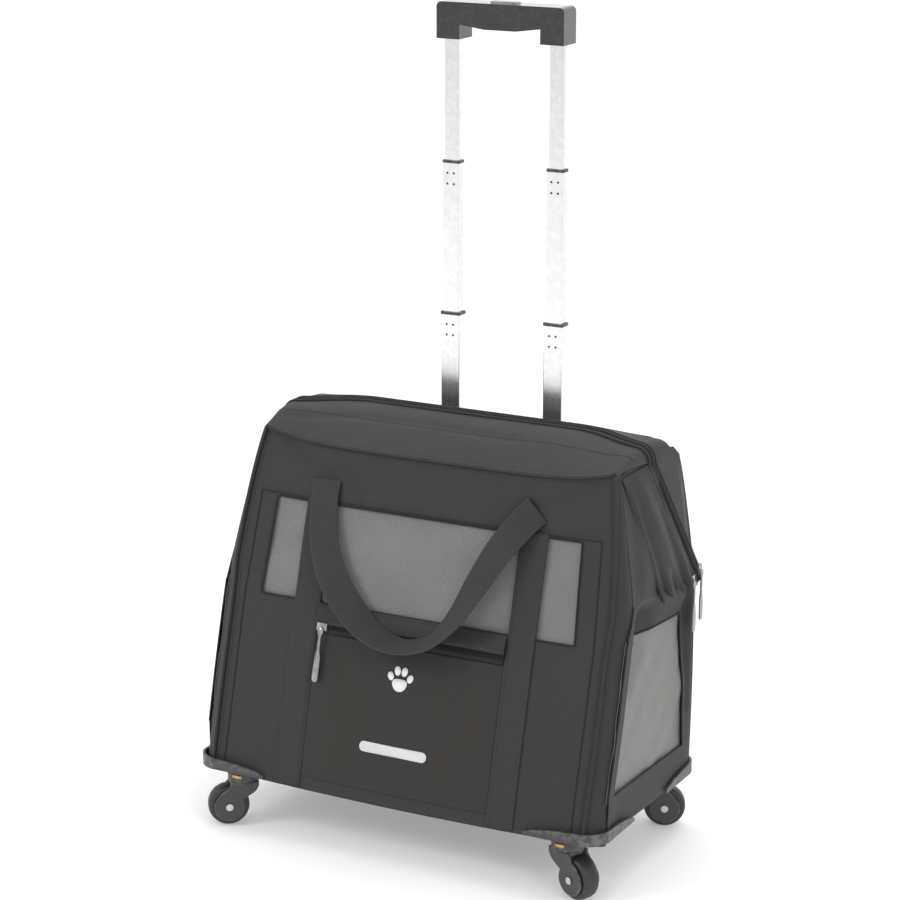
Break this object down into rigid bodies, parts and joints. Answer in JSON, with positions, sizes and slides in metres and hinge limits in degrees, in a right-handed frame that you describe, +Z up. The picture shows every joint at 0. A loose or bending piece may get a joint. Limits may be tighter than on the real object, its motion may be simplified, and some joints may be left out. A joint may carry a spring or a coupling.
{
  "type": "wheeled pet carrier bag",
  "caption": "Soft-sided pet carrier bag on swivel casters with mesh windows, a framed zip mouth, webbing carry handles and a telescopic trolley handle.",
  "frame": {"origin": "on the floor under the middle of the bag", "axes": "+X along the bag to the right of its front, +Y towards its back where the trolley handle stands, +Z up"},
  "size_m": [0.4997, 0.2957, 0.897],
  "materials": {
    "shell_fabric": "woven, matte",
    "mesh": "open mesh",
    "webbing": "woven webbing",
    "lining": "padded fleece",
    "board": "stiff board",
    "spring_steel": "drawn rod",
    "aluminium_tube": "polished, lengthwise brushed",
    "handle_plastic": "moulded",
    "grip_plastic": "gloss moulded",
    "button_plastic": "satin silver",
    "caster_plastic": "fine texture",
    "tyre_rubber": "satin",
    "axle_steel": "zinc plated",
    "zip_metal": "satin nickel"
  },
  "bodies": {
    "bag": {"base_board": "board", "bottom_cover": "shell_fabric", "base_mat": "lining", "back_panel": "shell_fabric", "back_flap": "shell_fabric", "end_panel_left": "shell_fabric", "end_panel_right": "shell_fabric", "end_mesh_left": "mesh", "end_mesh_right": "mesh", "end_ears": "shell_fabric", "frame_rivets": "axle_steel", "outer_tubes": "aluminium_tube", "collars_outer": "handle_plastic", "top_bezel": "handle_plastic", "tube_foot": "handle_plastic", "trolley_cover": "shell_fabric", "swivel_pins": "axle_steel", "zip_sliders": "zip_metal", "corner_bracket_front_left": "caster_plastic", "corner_bracket_front_right": "caster_plastic", "corner_bracket_back_left": "caster_plastic", "corner_bracket_back_right": "caster_plastic"},
    "front_wall": {"front_panel": "shell_fabric", "front_mesh": "mesh", "front_pocket": "shell_fabric", "front_bands": "webbing"},
    "top_flap": {"front_flap": "shell_fabric"},
    "front_mouth_frame": {"front_frame": "spring_steel"},
    "back_mouth_frame": {"back_frame": "spring_steel"},
    "handle_stage1": {"stage1_tubes": "aluminium_tube", "collars_stage1": "handle_plastic"},
    "handle_stage2": {"stage2_tubes": "aluminium_tube", "collars_stage2": "handle_plastic"},
    "handle_stage3": {"stage3_tubes": "aluminium_tube", "grip_lower": "grip_plastic", "grip_upper": "grip_plastic", "grip_spring": "spring_steel"},
    "push_button": {"grip_button": "button_plastic"},
    "front_carry_handle": {"handle_front": "webbing"},
    "back_carry_handle": {"handle_back": "webbing"},
    "pocket_zip_slider": {"pocket_slider": "zip_metal"},
    "pocket_zip_pull": {"pocket_pull": "zip_metal"},
    "front_zip_pull": {"zip_pull_front": "zip_metal"},
    "back_zip_pull": {"zip_pull_back": "zip_metal"},
    "fork_body_front_left": {"fork_front_left": "caster_plastic", "axle_front_left": "axle_steel"},
    "wheel_body_front_left": {"wheel_front_left": "caster_plastic", "tyre_front_left": "tyre_rubber"},
    "fork_body_front_right": {"fork_front_right": "caster_plastic", "axle_front_right": "axle_steel"},
    "wheel_body_front_right": {"wheel_front_right": "caster_plastic", "tyre_front_right": "tyre_rubber"},
    "fork_body_back_left": {"fork_back_left": "caster_plastic", "axle_back_left": "axle_steel"},
    "wheel_body_back_left": {"wheel_back_left": "caster_plastic", "tyre_back_left": "tyre_rubber"},
    "fork_body_back_right": {"fork_back_right": "caster_plastic", "axle_back_right": "axle_steel"},
    "wheel_body_back_right": {"wheel_back_right": "caster_plastic", "tyre_back_right": "tyre_rubber"}
  },
  "joints": [
    {"name": "mouth_open", "type": "hinge", "parent": "bag", "child": "front_mouth_frame", "pos_m": [0, 0.112, 0.293], "axis": [1, 0, 0], "range_deg": [0, 30]},
    {"name": "front_wall_tilt", "type": "hinge", "parent": "bag", "child": "front_wall", "pos_m": [0, -0.12527, 0.06935], "axis": [1, 0, 0], "range_deg": [0, 9.2]},
    {"name": "top_flap_fold", "type": "hinge", "parent": "front_wall", "child": "top_flap", "pos_m": [0, -0.024, 0.439], "axis": [1, 0, 0], "range_deg": [-50, 0]},
    {"name": "back_frame_swing", "type": "hinge", "parent": "bag", "child": "back_mouth_frame", "pos_m": [0, 0.112, 0.293], "axis": [1, 0, 0], "range_deg": [-15, 0]},
    {"name": "handle_stage1_slide", "type": "slide", "parent": "bag", "child": "handle_stage1", "axis": [0, 0, 1], "range_m": [-0.1125, 0]},
    {"name": "handle_stage2_slide", "type": "slide", "parent": "handle_stage1", "child": "handle_stage2", "axis": [0, 0, 1], "range_m": [-0.1665, 0]},
    {"name": "handle_stage3_slide", "type": "slide", "parent": "handle_stage2", "child": "handle_stage3", "axis": [0, 0, 1], "range_m": [-0.1335, 0]},
    {"name": "button_press", "type": "slide", "parent": "handle_stage3", "child": "push_button", "axis": [0, 0, 1], "range_m": [-0.003, 0], "stiffness_N_per_m": 600, "springref_m": 0.001, "deforming": ["grip_spring"]},
    {"name": "front_handle_swing", "type": "hinge", "parent": "front_wall", "child": "front_carry_handle", "pos_m": [0, -0.04181, 0.39386], "axis": [-1, 0, 0], "range_deg": [0, 160]},
    {"name": "back_handle_swing", "type": "hinge", "parent": "bag", "child": "back_carry_handle", "pos_m": [0, 0.13, 0.39252], "axis": [1, 0, 0], "range_deg": [0, 165]},
    {"name": "pocket_zip_run", "type": "slide", "parent": "front_wall", "child": "pocket_zip_slider", "axis": [1, 0, 0], "range_m": [0, 0.212]},
    {"name": "pocket_pull_swing", "type": "hinge", "parent": "pocket_zip_slider", "child": "pocket_zip_pull", "pos_m": [-0.106, -0.08988, 0.24013], "axis": [-1, 0, 0], "range_deg": [0, 160]},
    {"name": "front_pull_swing", "type": "hinge", "parent": "bag", "child": "front_zip_pull", "pos_m": [0.25075, 0.098, 0.293], "axis": [0, -1, 0], "range_deg": [0, 165]},
    {"name": "back_pull_swing", "type": "hinge", "parent": "bag", "child": "back_zip_pull", "pos_m": [0.25075, 0.117, 0.301], "axis": [0, -1, 0], "range_deg": [0, 165]},
    {"name": "swivel_front_left", "type": "hinge", "parent": "bag", "child": "fork_body_front_left", "pos_m": [-0.2, -0.104, 0.05], "axis": [0, 0, 1], "continuous": true},
    {"name": "roll_front_left", "type": "hinge", "parent": "fork_body_front_left", "child": "wheel_body_front_left", "pos_m": [-0.21398, -0.11453, 0.023], "axis": [-0.6018, 0.7986, 0], "continuous": true},
    {"name": "swivel_front_right", "type": "hinge", "parent": "bag", "child": "fork_body_front_right", "pos_m": [0.2, -0.104, 0.05], "axis": [0, 0, 1], "continuous": true},
    {"name": "roll_front_right", "type": "hinge", "parent": "fork_body_front_right", "child": "wheel_body_front_right", "pos_m": [0.21611, -0.11084, 0.023], "axis": [-0.3907, -0.9205, 0], "continuous": true},
    {"name": "swivel_back_left", "type": "hinge", "parent": "bag", "child": "fork_body_back_left", "pos_m": [-0.2, 0.104, 0.05], "axis": [0, 0, 1], "continuous": true},
    {"name": "roll_back_left", "type": "hinge", "parent": "fork_body_back_left", "child": "wheel_body_back_left", "pos_m": [-0.21516, 0.09525, 0.023], "axis": [-0.5, 0.866, 0], "continuous": true},
    {"name": "swivel_back_right", "type": "hinge", "parent": "bag", "child": "fork_body_back_right", "pos_m": [0.2, 0.104, 0.05], "axis": [0, 0, 1], "continuous": true},
    {"name": "roll_back_right", "type": "hinge", "parent": "fork_body_back_right", "child": "wheel_body_back_right", "pos_m": [0.21599, 0.11112, 0.023], "axis": [0.4067, -0.9135, 0], "continuous": true}
  ],
  "couplings": [
    {"joint": "front_wall_tilt", "follows": "mouth_open", "ratio": 0.303},
    {"joint": "top_flap_fold", "follows": "mouth_open", "ratio": -1.652}
  ]
}
